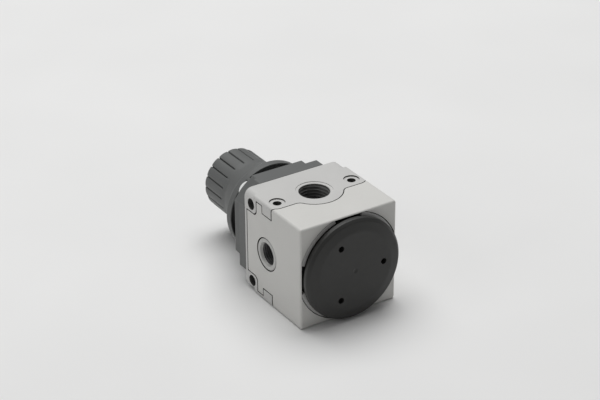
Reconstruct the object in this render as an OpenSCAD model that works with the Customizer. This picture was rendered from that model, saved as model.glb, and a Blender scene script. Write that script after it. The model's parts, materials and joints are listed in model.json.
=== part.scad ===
// Modular air pressure regulator, lying on its lower port face.
// X runs across the gauge ports, Y along the knob axis towards the knob, Z up along the main ports.
// The origin is under the middle of the object's length, on the surface it lies on.
// Places along the knob axis are counted from the front face of the body.

/* [Body] */
// Width and height of the square body
body_w = 43; // [42.6:0.1:43.4]
// Length of the body along the knob axis
body_d = 39.2; // [39.2:0.1:39.6]
// Rounding of the long body edges
edge_r = 1.2; // [0.8:0.1:1.6]
// Rounding of the long edges where the bonnet sits
rear_edge_r = 3.2; // [2.5:0.1:3.5]
// Width of the seam between the shell and the core
seam = 0.15; // [0.1:0.05:0.2]

/* [Shell] */
// Thickness of the shell on the two gauge sides
side_wall = 2.3; // [2:0.1:2.5]
// Thickness of the shell on the two port sides
port_wall = 2; // [1.8:0.1:2.2]
// Radius of the round opening in the front face
opening_r = 22.2; // [22:0.1:22.4]
// Wall that is left where the opening meets a side
opening_wall = 0.6; // [0.5:0.1:0.8]

/* [Ports] */
// Bore radius of the main port thread, G1/4
port_r = 5.72; // [5.6:0.01:5.8]
// Depth of the main port
port_depth = 11; // [10.5:0.1:11.5]
// Radius of the shallow recess round the main port's mouth
port_mouth_r = 7.25; // [7:0.05:7.4]
// Distance of the main ports from the front face
port_y = 23.5; // [23.3:0.1:23.7]
// Bore radius of the gauge port thread, G1/8
gauge_r = 4.28; // [4.2:0.01:4.4]
// Outer radius of the gauge port bush
bush_r = 6.6; // [6.4:0.1:6.7]
// Distance of the gauge ports from the front face
gauge_y = 23.8; // [23.6:0.1:24]

/* [Fixing holes] */
// Core radius of the small threaded holes beside the main ports, M4
small_hole_r = 1.65; // [1.6:0.01:1.7]
// Spacing of the two small holes
small_hole_gap = 33.6; // [33.2:0.1:34]
// Radius of the through holes for the joining kit
kit_hole_r = 2.3; // [2.1:0.1:2.4]
// Distance of the through holes from the port faces
kit_hole_in = 4.65; // [4.5:0.05:4.8]

/* [Closing cap] */
// Largest radius of the closing cap
cap_r = 21.05; // [20.8:0.05:21.2]
// How far the cap stands out of the front face
cap_out = 4.65; // [4.4:0.05:5]
// Radius of the flat middle of the cap
cap_flat_r = 16.2; // [15.5:0.1:17]
// Radius of the circle of spanner holes
spanner_circle_r = 12.8; // [12.5:0.1:13.5]
// Radius of one spanner hole
spanner_hole_r = 1.22; // [1:0.01:1.4]

/* [Bonnet] */
// Thickness of the bonnet's square plate
plate_t = 4.7; // [4.5:0.1:4.9]
// Thickness of the bonnet's octagonal step
step_t = 2.9; // [2.7:0.1:3]
// Corner cut of the square plate
plate_cut = 7.2; // [6.5:0.1:7.5]
// Corner cut of the octagonal step
step_cut = 12.3; // [12:0.1:12.6]
// Corner cut of the step at the corner that carries the white mark
mark_cut = 8.2; // [8:0.1:8.6]
// Outer radius of the spring tower
tower_r = 11.4; // [11.2:0.1:11.5]

/* [Knob] */
// Radius of the knob over its ribs
knob_r = 13.3; // [13.2:0.1:13.6]
// Radius of the skirt at the foot of the knob
skirt_r = 19; // [18.6:0.1:19.3]
// Distance of the knob's end from the front face of the body
knob_end = 84.6; // [84.4:0.1:85]
// Distance of the skirt's edge from the front face of the body
skirt_y = 54.5; // [54.3:0.1:54.8]
// Number of grip grooves
rib_count = 18; // [12:1:24]
// Length of the grip grooves
rib_len = 12.5; // [11:0.5:13]

/* [Hidden] */
$fn = 96;
eps = 0.01;

half = body_w / 2;
length_mid = (knob_end - cap_out) / 2;

// The core's outline on the port faces
core_front = 18.6;      // front edge of the core on the port faces
core_corner = 20.4;     // where that edge meets the gauge sides
core_corner_run = 3.5;  // how far in from the gauge sides the front edge starts to curve
bulge_r = 11;           // round part of the core about the main port
bulge_fillet = 3;       // fillet where the round part meets the straight edge

// The core's outline on the gauge sides
tab_end = 26.5;         // rear end of the tab
tab_h = 4.9;            // height of the tab
strip_h = 1.6;          // height of the strip behind the tab
block_start = 31;       // front of the corner blocks
block_h = 7.8;          // height of the corner blocks
rim_t = 1.3;            // core rim beside the bonnet

// Holes in the core's outside
port_mouth_depth = 0.3; // recess round the main port's mouth
port_lead_r = 6.1;      // the thread's lead-in at the bottom of that recess
small_hole_depth = 8;
small_hole_back = -0.2; // offset of the small holes behind the port's middle
spot_r = 3.15;          // spot face of a small hole
spot_depth = 0.5;
kit_hole_back = 3.6;    // through holes, counted from the front of the corner blocks

// Inner cavities of the core
block_front = 5;        // where the core's solid block starts
collar_in = 20.4;       // inner radius of the four arc walls round the cap
collar_out = 21.9;      // outer radius of the four arc walls
collar_flat = 20.75;    // the arc walls stay this close to the axis
collar_end = block_front + 0.5;
slot_half_angle = 16.2; // half the gap between two arc walls
thread_r = 17;          // bore that the cap screws into
thread_end = 12;
chamber_r = 9.5;        // valve chamber and outlet chamber
web_start = 21;         // web that holds the valve seat
web_end = 24;
seat_bore_r = 5.5;
outlet_end = 33;
wide_chamber_r = 13;    // chamber under the diaphragm
recess_start = 37.6;
recess_r = 15.5;        // recess that holds the diaphragm's rim
passage_r = 2.8;        // passages from the main ports to the chambers
front_passage_y = 18;   // to the upper port, from the valve chamber
rear_passage_y = 27.5;  // to the lower port, from the outlet chamber
passage_start = 8;      // the passages start this far from the axis
gauge_passage_r = 1.5;  // passage from the outlet to the gauge ports
gauge_passage_back = 2.7;
gauge_passage_end = 13;

bush_len = 8.4;
bush_depth = 9.5;       // depth of the bush's hole from the side face

screw_circle_r = 17.2;  // bonnet screws, M2.5, on the diagonals
screw_r = 1.25;
screw_head_r = 2.25;
screw_head_h = 2.5;
screw_hex_r = 1.15;
screw_end = 31.5;

plate_end = body_d + plate_t;
step_end = plate_end + step_t;
boss_end = step_end + 6.2;
boss_r = 19.8;
boss_half_angle = 13;
rib_r = 19.2;           // inner radius of the upright ribs beside the skirt
rib_h = 2;
marker_angle = -134.8;  // middle of the white mark, seen along the knob axis
marker_half_w = 2.9;
marker_h = 1.35;
mark_rib_turn = 10.7;   // upright rib beside the white mark
mark_rib_half_angle = 1.9;
tower_end = 74;
tower_foot_r = 14.4;    // low collar at the foot of the tower
tower_in = 9.8;
tower_wall = 3;         // end wall of the tower
key_slot_r = 10.8;      // slots that keep the spring nut from turning
key_slot_w = 3.4;

journal_r = 4.05;
running = 0.06;         // radial clearance of running fits
lift = 2.5;             // travel of the knob from locked to free

spring_wire_r = 1.2;
spring_mid_r = 7.2;
spring_low = 42.9;
spring_high = 65.9;
nut_low = 66;

// Helpers ---------------------------------------------------------------

// Moves the design from its own places to the row's origin
module placed() { translate([0, -length_mid, 0]) children(); }

// Turns a profile of radius and distance about the knob axis
module lathe() { translate([0, 0, half]) rotate([-90, 0, 0]) rotate_extrude() children(); }

// Round bar along the knob axis
module bar(r, y0, y1, x = 0, up = 0) {
    translate([x, y0, half + up]) rotate([-90, 0, 0]) cylinder(r = r, h = y1 - y0);
}

// Tube along the knob axis
module tube(r_out, r_in, y0, y1) {
    difference() {
        bar(r_out, y0, y1);
        bar(r_in, y0 - 1, y1 + 1);
    }
}

// Extrudes an outline along each row axis
module along_y(y0, y1) { translate([0, y0, half]) rotate([-90, 0, 0]) linear_extrude(y1 - y0) children(); }
module along_x(x0, x1) { translate([x0, 0, 0]) rotate([90, 0, 90]) linear_extrude(x1 - x0) children(); }

// Square with round corners, centred
module round_square(w, r) {
    square([w - 2 * r, w], center = true);
    square([w, w - 2 * r], center = true);
    for (sx = [-1, 1], sy = [-1, 1])
        translate([sx * (w / 2 - r), sy * (w / 2 - r)]) circle(r);
}

// Square with cut corners, centred. The corner of the white mark may have a cut of its own
module cut_square(w, cut, mark_corner_cut) {
    h = w / 2;
    f = h - cut;
    m = h - mark_corner_cut;
    polygon([[f, h], [h, f], [h, -f], [f, -h], [-m, -h], [-h, -m], [-h, f], [-f, h]]);
}

// Ring of round section about the knob axis
module oring(mid_r, wire_r, y) { lathe() translate([mid_r, y]) circle(wire_r, $fn = 32); }

// Sector outline from the origin, centred on an angle
module sector(r, mid_angle, half_angle) {
    polygon([[0, 0], for (k = [-4 : 4]) 1.5 * r * [cos(mid_angle + k * half_angle / 4),
                                                   sin(mid_angle + k * half_angle / 4)]]);
}

// Wire coil along the knob axis, as one swept polyhedron
module coil(mid_r, wire_r, y0, y1, turns, sides = 8, per_turn = 20) {
    n = turns * per_turn;
    rise = y1 - y0 - 2 * wire_r;
    slope = atan(rise / turns / (2 * PI * mid_r));
    pts = [for (i = [0 : n], j = [0 : sides - 1])
        let (a = 360 * i / per_turn, b = 360 * j / sides,
             c = wire_r * cos(b), s = wire_r * sin(b))
        [(mid_r + c) * cos(a) + s * sin(slope) * sin(a),
         y0 + wire_r + rise * i / n + s * cos(slope),
         half + (mid_r + c) * sin(a) - s * sin(slope) * cos(a)]];
    walls = [for (i = [0 : n - 1], j = [0 : sides - 1])
        let (k = (j + 1) % sides)
        [i * sides + j, (i + 1) * sides + j, (i + 1) * sides + k, i * sides + k]];
    start = [for (j = [0 : sides - 1]) j];
    finish = [for (j = [sides - 1 : -1 : 0]) n * sides + j];
    polyhedron(points = pts, faces = concat([start, finish], walls));
}

// Core and shell --------------------------------------------------------

// Outline of the core on a port face, grown by g
module core_outline(g = 0) {
    corner = core_corner - core_front;
    corner_r = (pow(core_corner_run, 2) + pow(corner, 2)) / (2 * corner);
    corner_x = half - core_corner_run;
    fillet_y = core_front - bulge_fillet;
    reach = bulge_r + bulge_fillet;
    fillet_x = sqrt(reach * reach - pow(port_y - fillet_y, 2));
    foot = bulge_r / reach;
    translate([-half - 1, core_corner - g]) square([body_w + 2, body_d - core_corner + g]);
    translate([-corner_x, core_front - g]) square([2 * corner_x, 10]);
    for (s = [-1, 1]) {
        intersection() {
            translate([s * corner_x, core_front + corner_r]) circle(corner_r + g);
            translate([corner_x + (s - 1) * (corner_x + half) / 2, core_front - 1])
                square([half - corner_x, corner + 1]);
        }
        difference() {
            polygon([[s * fillet_x, core_front - g + eps],
                     [s * fillet_x * foot, port_y - (port_y - fillet_y) * foot - g],
                     [s * fillet_x * foot * 0.9, core_front + 2],
                     [s * fillet_x, core_front + 2]]);
            translate([s * fillet_x, fillet_y]) circle(bulge_fillet - g);
        }
    }
    translate([0, port_y]) circle(bulge_r + g);
}

// Outline of the core on a gauge side above the middle, grown by g
module side_outline(g = 0) {
    for (m = [0, 1]) translate([0, m * body_w]) mirror([0, m]) {
        translate([core_front - 10, -1]) square([tab_end - core_front + 10 + g, tab_h + 1 + g]);
        translate([tab_end, -1]) square([block_start - tab_end, strip_h + 1 + g]);
        translate([block_start - g, -1]) square([body_d - block_start + g + 1, block_h + 1 + g - 2]);
        translate([block_start - g + 2, -1]) square([body_d - block_start + g, block_h + 1 + g]);
        translate([block_start + 2, block_h - 2]) circle(2 + g);
    }
}

// The part of the body that the core fills out to the surface, grown by g
module core_skin(g = 0) {
    intersection() {
        linear_extrude(body_w) core_outline(g);
        union() {
            along_x(-half, half) side_outline(g);
            translate([-half + side_wall + seam - g, 0, 0])
                cube([body_w - 2 * (side_wall + seam - g), body_d, body_w]);
        }
    }
    along_y(body_d - rim_t - g, body_d) round_square(body_w, edge_r);
}

// Outer limits of the body, with larger rounding at the rear
module body_limits() {
    along_y(0, block_start) round_square(body_w, edge_r);
    along_y(block_start - eps, body_d) round_square(body_w, rear_edge_r);
}

// One main port with its recess and lead-in, opening upwards at the origin
module port_cut() {
    lead = port_lead_r - port_r;
    translate([0, 0, -port_depth]) cylinder(r = port_r, h = port_depth + 1);
    translate([0, 0, -port_mouth_depth - lead]) cylinder(r1 = port_r, r2 = port_lead_r, h = lead + eps);
    translate([0, 0, -port_mouth_depth]) cylinder(r = port_mouth_r, h = port_mouth_depth + 1);
}

// One small threaded hole with its spot face
module small_hole_cut() {
    translate([0, 0, -small_hole_depth]) cylinder(r = small_hole_r, h = small_hole_depth + 1, $fn = 48);
    translate([0, 0, -spot_depth]) cylinder(r = spot_r, h = spot_depth + 1, $fn = 64);
}

// Repeats a cut on the upper and the lower port face
module on_port_faces() {
    translate([0, 0, body_w]) children();
    mirror([0, 0, 1]) children();
}

module core_cavity() {
    bar(thread_r, -1, thread_end);
    bar(chamber_r, thread_end - eps, web_start);
    bar(seat_bore_r, web_start - eps, web_end + eps);
    bar(chamber_r, web_end, outlet_end);
    bar(wide_chamber_r, outlet_end - eps, recess_start);
    bar(recess_r, recess_start - eps, body_d + 1);
    translate([0, front_passage_y, half + passage_start]) cylinder(r = passage_r, h = 4, $fn = 48);
    translate([0, rear_passage_y, half - passage_start - 4]) cylinder(r = passage_r, h = 4, $fn = 48);
}

module gauge_cuts() {
    for (s = [-1, 1]) {
        translate([s * (half - bush_depth), gauge_y, half]) rotate([0, s * 90, 0])
            cylinder(r = bush_r + 0.05, h = bush_depth + 1);
        translate([0, gauge_y + gauge_passage_back, half]) rotate([0, s * 90, 0])
            cylinder(r = gauge_passage_r, h = gauge_passage_end, $fn = 48);
    }
}

module collar_walls() {
    intersection() {
        tube(collar_out, collar_in, 0, collar_end);
        along_y(0, collar_end) square(2 * collar_flat, center = true);
        along_y(-1, block_front + 1)
            for (a = [45 : 90 : 315]) sector(collar_out, a, 45 - slot_half_angle);
    }
}

module core_body() {
    inner_w = body_w - 2 * (side_wall + seam);
    inner_h = body_w - 2 * (port_wall + seam);
    color([0.74, 0.74, 0.72]) placed() {
        difference() {
            intersection() {
                union() {
                    translate([-inner_w / 2, block_front, half - inner_h / 2])
                        cube([inner_w, body_d - block_front, inner_h]);
                    core_skin();
                }
                body_limits();
            }
            core_cavity();
            gauge_cuts();
            on_port_faces() {
                translate([0, port_y, 0]) port_cut();
                for (s = [-1, 1])
                    translate([s * small_hole_gap / 2, port_y + small_hole_back, 0]) small_hole_cut();
            }
            for (z = [kit_hole_in, body_w - kit_hole_in])
                translate([-half - 1, block_start + kit_hole_back, z]) rotate([0, 90, 0])
                    cylinder(r = kit_hole_r, h = body_w + 2, $fn = 64);
            for (a = [45 : 90 : 315])
                bar(screw_r + 0.02, screw_end - 0.5, body_d + 1,
                    screw_circle_r * cos(a), screw_circle_r * sin(a));
        }
        collar_walls();
    }
}

module shell() {
    color([0.78, 0.78, 0.76]) placed() difference() {
        along_y(0, body_d - rim_t - seam) round_square(body_w, edge_r);
        translate([-half + side_wall, block_front - 0.1, port_wall])
            cube([body_w - 2 * side_wall, body_d, body_w - 2 * port_wall]);
        intersection() {
            bar(opening_r, -1, collar_end + 0.1);
            along_y(-1, collar_end + 0.1) square(body_w - 2 * opening_wall, center = true);
        }
        core_skin(seam);
        for (s = [-1, 1]) translate([0, gauge_y, half]) rotate([0, s * 90, 0])
            cylinder(r = bush_r + seam, h = half + 1);
    }
}

// Cap and valve ---------------------------------------------------------

module closing_cap() {
    lip = 0.7;
    color([0.2, 0.2, 0.2]) placed() difference() {
        lathe() {
            polygon([[0, -cap_out], [cap_flat_r, -cap_out], [cap_r - lip, -3.3], [cap_r - lip, -1],
                     [19.8, -1], [19.8, 4.6], [thread_r - 0.05, 4.6], [thread_r - 0.05, 8.6],
                     [15.3, 8.6], [15.3, 10.7], [thread_r - 0.05, 10.7], [thread_r - 0.05, 11.7],
                     [13, 11.7], [13, 6], [5.5, 6], [5.5, 12], [0, 12]]);
            translate([cap_r - lip, -2.6]) circle(lip, $fn = 48);
            translate([cap_r - lip, -2.6]) square([lip, 1.6 - lip]);
            translate([cap_r - lip, -1 - lip]) circle(lip, $fn = 48);
        }
        for (a = [0, 120, 240])
            bar(spanner_hole_r, -cap_out - 1, 1, spanner_circle_r * cos(a), spanner_circle_r * sin(a));
        bar(1.5 + running, 7, 13);
    }
}

module cap_oring() { color([0.08, 0.08, 0.08]) placed() oring(16.15, 0.82, 9.65); }

module valve_seat() {
    color([0.78, 0.64, 0.32]) placed() difference() {
        lathe() polygon([[3.6, 20.5], [4.1, 20.5], [4.6, 21.02], [5.45, 21.02], [5.45, 22],
                         [4.8, 22], [4.8, 23.2], [5.45, 23.2], [5.45, 24.05], [7.5, 24.05],
                         [7.5, 25], [3.6, 25]]);
    }
}

module seat_oring() { color([0.08, 0.08, 0.08]) placed() oring(5.15, 0.34, 22.6); }

module valve_poppet() {
    color([0.76, 0.62, 0.3]) placed() difference() {
        lathe() polygon([[0, 16.5], [3.6, 16.5], [3.6, 17.3], [5.2, 17.3], [5.2, 20], [4.7, 20],
                         [4.7, 19.2], [2.1, 19.2], [2.1, 20.2], [0, 20.2]]);
        bar(1.52, 16, 21);
    }
}

module poppet_seal() { color([0.1, 0.1, 0.1]) placed() tube(4.66, 2.14, 19.22, 20.45); }

module valve_stem() {
    color([0.78, 0.64, 0.32]) placed() {
        bar(1.5, 9, 36.6);
        lathe() polygon([[0, 36.6], [1.5, 36.6], [0.9, 37], [0, 37]]);
    }
}

module valve_spring() { color([0.72, 0.73, 0.75]) placed() coil(4.3, 0.4, 12.05, 17.2, 4, 6, 18); }

// Gauge ports -----------------------------------------------------------

// Threaded bush that lines one gauge port, on side s
module gauge_bush(s) {
    color([0.7, 0.7, 0.68]) placed()
        translate([s * (half - 0.1), gauge_y, half]) rotate([0, -s * 90, 0]) difference() {
            cylinder(r = bush_r, h = bush_len);
            translate([0, 0, -1]) cylinder(r = gauge_r, h = bush_len + 2);
            translate([0, 0, -eps]) cylinder(r1 = gauge_r + 0.5, r2 = gauge_r, h = 0.5);
        }
}
module gauge_bush_left() { gauge_bush(-1); }
module gauge_bush_right() { gauge_bush(1); }

module bush_seals() {
    color([0.08, 0.08, 0.08]) placed() for (s = [-1, 1])
        translate([s * (half - bush_depth + 0.45), gauge_y, half]) rotate([0, 90, 0])
            rotate_extrude() translate([5.9, 0]) circle(0.42, $fn = 32);
}

// Diaphragm -------------------------------------------------------------

module diaphragm() {
    color([0.12, 0.12, 0.12]) placed() lathe()
        polygon([[3.2, 38.35], [11.4, 38.35], [12.2, 37.9], [13.2, 37.9], [13.7, 37.7], [15.4, 37.7],
                 [15.4, 39.1], [13.7, 39.1], [13, 38.6], [12.4, 38.6], [11.6, 39.1], [3.2, 39.1]]);
}

module relief_seat() {
    color([0.76, 0.62, 0.3]) placed() difference() {
        lathe() polygon([[0, 37.05], [6.8, 37.05], [6.8, 38.3], [3.1, 38.3], [3.1, 43.6], [0, 43.6]]);
        bar(0.8, 36, 45);
    }
}

module diaphragm_plate() {
    color([0.72, 0.73, 0.75]) placed() lathe()
        polygon([[3.15, 39.15], [11, 39.15], [12, 39.6], [12, 41], [10.4, 42.8], [5.7, 42.8],
                 [5.7, 45.4], [5.2, 46], [3.15, 46]]);
}

// Adjusting gear --------------------------------------------------------

module range_spring() {
    color([0.45, 0.46, 0.48]) placed() coil(spring_mid_r, spring_wire_r, spring_low, spring_high, 6);
}

module spring_nut() {
    color([0.76, 0.62, 0.3]) placed() difference() {
        union() {
            lathe() polygon([[0, 62.6], [5.3, 62.6], [5.7, 63.2], [5.7, nut_low], [9.3, nut_low],
                             [9.3, 68.5], [0, 68.5]]);
            intersection() {
                bar(key_slot_r - 0.3, nut_low, 68.5);
                translate([-half, nut_low, half - key_slot_w / 2 + 0.2])
                    cube([body_w, 2.5, key_slot_w - 0.4]);
            }
        }
        bar(journal_r, 62, 69);
    }
}

module adjusting_spindle() {
    color([0.72, 0.73, 0.75]) placed() {
        lathe() polygon([[0, 50], [3.2, 50], [journal_r - running, 50.8], [journal_r - running, 69],
                         [6.8, 69], [6.8, 70.3], [journal_r, 70.3], [journal_r, 74.1], [3.35, 74.1],
                         [3.35, 74.9], [3.7, 74.9], [3.7, 75.6], [0, 75.6]]);
        bar_hex(3.68, 75.5, 81.6);
    }
}

// Hexagonal bar along the knob axis, r is the corner radius
module bar_hex(r, y0, y1) {
    translate([0, y0, half]) rotate([-90, 0, 0]) linear_extrude(y1 - y0) circle(r, $fn = 6);
}

module thrust_washer() { color([0.85, 0.85, 0.82]) placed() tube(7.6, 4.2, 70.36, 70.94); }

module retaining_clip() { color([0.3, 0.3, 0.32]) placed() tube(6, 3.4, 74.12, 74.86); }

module bonnet() {
    color([0.36, 0.37, 0.36]) placed() difference() {
        union() {
            along_y(body_d + 0.02, plate_end) cut_square(body_w, plate_cut, plate_cut);
            along_y(plate_end - eps, step_end) cut_square(body_w, step_cut, mark_cut);
            bar(tower_r, step_end - eps, tower_end);
            bar(tower_foot_r, step_end - eps, step_end + 3);
            intersection() {
                tube(boss_r, 13, step_end - eps, boss_end);
                along_y(step_end - 1, boss_end + 1)
                    for (a = [45 : 90 : 315]) sector(boss_r, a, boss_half_angle);
            }
            intersection() {
                tube(boss_r, rib_r, boss_end - eps, boss_end + rib_h);
                along_y(boss_end - 1, boss_end + 3) sector(boss_r, marker_angle + mark_rib_turn, mark_rib_half_angle);
            }
        }
        bar(wide_chamber_r, body_d - 1, body_d + 3.8);
        bar(tower_in, body_d, tower_end - tower_wall);
        bar(journal_r + running, body_d, tower_end + 1);
        intersection() {
            bar(key_slot_r, 54, tower_end - tower_wall);
            translate([-half, 54, half - key_slot_w / 2]) cube([body_w, 30, key_slot_w]);
        }
        for (a = [45 : 90 : 315]) {
            bar(screw_r + 0.1, body_d - 1, boss_end + 1, screw_circle_r * cos(a), screw_circle_r * sin(a));
            bar(screw_head_r + 0.15, plate_end, boss_end + 1,
                screw_circle_r * cos(a), screw_circle_r * sin(a));
        }
    }
}

// One bonnet screw, its head towards the knob
module bonnet_screw() {
    difference() {
        union() {
            bar(screw_r, screw_end, plate_end + 0.1);
            bar(screw_head_r, plate_end + 0.02, plate_end + screw_head_h);
        }
        bar_hex(screw_hex_r, plate_end + screw_head_h - 1.3, plate_end + screw_head_h + 1);
    }
}

module bonnet_screws() {
    color([0.7, 0.71, 0.72]) placed() for (a = [45 : 90 : 315])
        translate([screw_circle_r * cos(a), 0, screw_circle_r * sin(a)]) bonnet_screw();
}

// White mark that stands on the bonnet's -X, +Z corner, beside the skirt, with a round top edge
module index_marker() {
    round_r = (pow(marker_half_w, 2) + pow(marker_h, 2)) / (2 * marker_h);
    color([0.92, 0.93, 0.92]) placed() intersection() {
        tube(boss_r, rib_r, boss_end + 0.02, boss_end + marker_h);
        translate([0, boss_end + marker_h - round_r, half]) rotate([0, marker_angle + 180, 0])
            translate([-boss_r - 1, 0, 0]) rotate([0, 90, 0]) cylinder(r = round_r, h = 3);
    }
}

// Knob ------------------------------------------------------------------

module knob() {
    web_low = 76.2;
    web_high = 79;
    flare_start = 69;
    groove_r = 0.8;
    skirt_wall = 0.7;
    color([0.36, 0.37, 0.36]) placed() difference() {
        lathe() difference() {
            union() {
                polygon([[tower_r + 0.45, skirt_y + 3.2], [skirt_r, skirt_y + 3.2], [16.4, skirt_y + 5.6],
                         [14.4, skirt_y + 9], [knob_r, flare_start], [knob_r, knob_end - 1],
                         [0, knob_end - 1], [0, web_low], [tower_r + 0.45, web_low]]);
                translate([skirt_r - skirt_wall, skirt_y]) square([skirt_wall, 3.2 + eps]);
                translate([0, knob_end - 1 - eps]) square([knob_r - 1, 1 + eps]);
                translate([knob_r - 1, knob_end - 1]) circle(1, $fn = 48);
            }
            translate([-1, web_high]) square([10, 10]);
            translate([-1, web_low - 1]) square([tower_r + 0.45 + 1, 1]);
        }
        bar_hex(3.78, web_low - 2, web_high + 1);
        for (i = [0 : rib_count - 1]) let (a = 360 * i / rib_count)
            bar(groove_r, knob_end - rib_len, knob_end + 1,
                (knob_r + 0.15) * cos(a), (knob_r + 0.15) * sin(a));
    }
}

module knob_screw() {
    color([0.72, 0.73, 0.75]) placed() difference() {
        bar(4.3, 81.62, 83.1);
        bar_hex(1.5, 82.2, 84);
    }
}

module knob_cap() { color([0.33, 0.34, 0.33]) placed() bar(8.95, 83.4, knob_end - 0.25); }

core_body();
shell();
closing_cap();
cap_oring();
valve_seat();
seat_oring();
valve_poppet();
poppet_seal();
valve_stem();
valve_spring();
gauge_bush_left();
gauge_bush_right();
bush_seals();
diaphragm();
relief_seat();
diaphragm_plate();
range_spring();
spring_nut();
adjusting_spindle();
thrust_washer();
retaining_clip();
bonnet();
bonnet_screws();
index_marker();
knob();
knob_screw();
knob_cap();
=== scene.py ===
"""Looks of a small modular air pressure regulator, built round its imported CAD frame.

Lengths in the piece functions are in millimetres, counted like the CAD: x from the middle,
y from the front face of the body towards the knob, z up from the surface it lies on.
"""
import json
import math

import bmesh
import bpy
from mathutils import Matrix, Vector


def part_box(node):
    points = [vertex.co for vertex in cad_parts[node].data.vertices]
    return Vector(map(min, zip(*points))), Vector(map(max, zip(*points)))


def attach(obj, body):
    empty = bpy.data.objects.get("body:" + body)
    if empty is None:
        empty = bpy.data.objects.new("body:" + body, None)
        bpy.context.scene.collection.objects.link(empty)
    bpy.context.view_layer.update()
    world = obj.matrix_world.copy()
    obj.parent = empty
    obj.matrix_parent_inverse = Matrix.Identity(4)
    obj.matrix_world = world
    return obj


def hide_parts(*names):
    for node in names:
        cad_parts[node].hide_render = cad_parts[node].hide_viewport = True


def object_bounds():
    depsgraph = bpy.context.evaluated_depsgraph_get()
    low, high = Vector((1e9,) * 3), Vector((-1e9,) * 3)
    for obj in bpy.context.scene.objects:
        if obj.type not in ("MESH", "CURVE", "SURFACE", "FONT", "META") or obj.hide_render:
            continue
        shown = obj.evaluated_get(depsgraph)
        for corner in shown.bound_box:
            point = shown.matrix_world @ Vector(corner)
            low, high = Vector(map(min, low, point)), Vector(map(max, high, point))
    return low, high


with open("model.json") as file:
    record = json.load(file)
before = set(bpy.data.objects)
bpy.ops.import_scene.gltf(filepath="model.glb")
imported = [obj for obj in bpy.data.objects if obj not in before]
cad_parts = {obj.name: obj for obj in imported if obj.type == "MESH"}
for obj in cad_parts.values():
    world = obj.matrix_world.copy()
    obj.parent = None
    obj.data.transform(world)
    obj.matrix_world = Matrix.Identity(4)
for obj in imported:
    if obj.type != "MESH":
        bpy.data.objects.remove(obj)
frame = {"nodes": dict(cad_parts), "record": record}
cad_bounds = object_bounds()

# Driving dimensions, from the frame -------------------------------------

MM = 0.001
shell_low, shell_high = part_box("shell")
FRONT = shell_low.y / MM
HALF = shell_high.x / MM
WIDTH = 2 * HALF
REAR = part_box("core_body")[1].y / MM - FRONT
CAP_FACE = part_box("closing_cap")[0].y / MM - FRONT
CAP_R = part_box("closing_cap")[1].x / MM
SKIRT_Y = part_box("knob")[0].y / MM - FRONT
SKIRT_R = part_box("knob")[1].x / MM
KNOB_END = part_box("knob")[1].y / MM - FRONT
BUSH_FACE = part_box("gauge_bush_right")[1].x / MM
BUSH_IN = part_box("gauge_bush_right")[0].x / MM

# Long edges of the body, and the same edges beside the bonnet
EDGE_R = 1.2
REAR_EDGE_R = 3.2
REAR_EDGE_START = 33.0

# Seams on the port faces and on the gauge sides. Their steep walls below the lip, and every face below
# the depth, are painted dark as shade in the gap.
SEAM = 0.38
SIDE_SEAM = 0.42
SEAM_LIP = 0.2
SEAM_DEPTH = 0.65

# Main ports: bore, recess round the mouth, lead-in, and the room of the threaded liner
PORT_Y = 23.5
PORT_R = 5.72
PORT_MOUTH_R = 7.25
PORT_LEAD_R = 6.1
LINER_R = 6.62
LINER_START = 0.72
LINER_LEN = 10.6
LINER_END = 11.4

# Gauge ports and their threaded rings
GAUGE_Y = 23.8
GAUGE_R = 4.28
BUSH_R = 6.45
BUSH_GAP = 0.42
BUSH_BORE = 4.95

# Threads: crest radius, root radius, pitch. THREAD_START turns every thread, in turns.
PORT_THREAD = (PORT_R, 6.5, 1.337)
GAUGE_THREAD = (GAUGE_R, 4.8, 0.907)
THREAD_START = 0.7
THREAD_SEGMENTS = 72
THREAD_ROWS = 8

# The four screws that hold the bonnet on
SCREW_CIRCLE = 17.2

SEGMENTS = 128
MERGE = 0.004

# Mesh helpers -------------------------------------------------------------


def arc(cx, cy, r, start, end, steps):
    """Points on an arc, angles in degrees, both ends included."""
    turn = math.radians(end - start)
    first = math.radians(start)
    return [(cx + r * math.cos(first + turn * i / steps), cy + r * math.sin(first + turn * i / steps))
            for i in range(steps + 1)]


def rounded(points, radius, steps=6, closed=True):
    """A polyline with its corners rounded. radius is one number or one for each point."""
    n = len(points)
    radii = radius if isinstance(radius, (list, tuple)) else [radius] * n
    out = []
    for i, corner in enumerate(points):
        at_end = not closed and i in (0, n - 1)
        if at_end or radii[i] <= 0:
            out.append(corner)
            continue
        p = Vector(corner)
        a = Vector(points[i - 1]) - p
        b = Vector(points[(i + 1) % n]) - p
        angle = a.angle(b)
        reach = min(radii[i] / math.tan(angle / 2), 0.49 * a.length, 0.49 * b.length)
        r = reach * math.tan(angle / 2)
        a.normalize()
        b.normalize()
        centre = p + (a + b).normalized() * math.hypot(r, reach)
        start = p + a * reach - centre
        end = p + b * reach - centre
        first = math.atan2(start.y, start.x)
        sweep = math.atan2(start.x * end.y - start.y * end.x, start.dot(end))
        for k in range(steps + 1):
            t = first + sweep * k / steps
            out.append((centre.x + r * math.cos(t), centre.y + r * math.sin(t)))
    return out


def make_object(name, verts, faces):
    """A new mesh object from points in millimetres."""
    mesh = bpy.data.meshes.new(name)
    mesh.from_pydata([(x * MM, (y + FRONT) * MM, z * MM) for x, y, z in verts], [], faces)
    mesh.update()
    bm = bmesh.new()
    bm.from_mesh(mesh)
    bmesh.ops.recalc_face_normals(bm, faces=bm.faces)
    bm.to_mesh(mesh)
    bm.free()
    obj = bpy.data.objects.new(name, mesh)
    bpy.context.scene.collection.objects.link(obj)
    return obj


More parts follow.
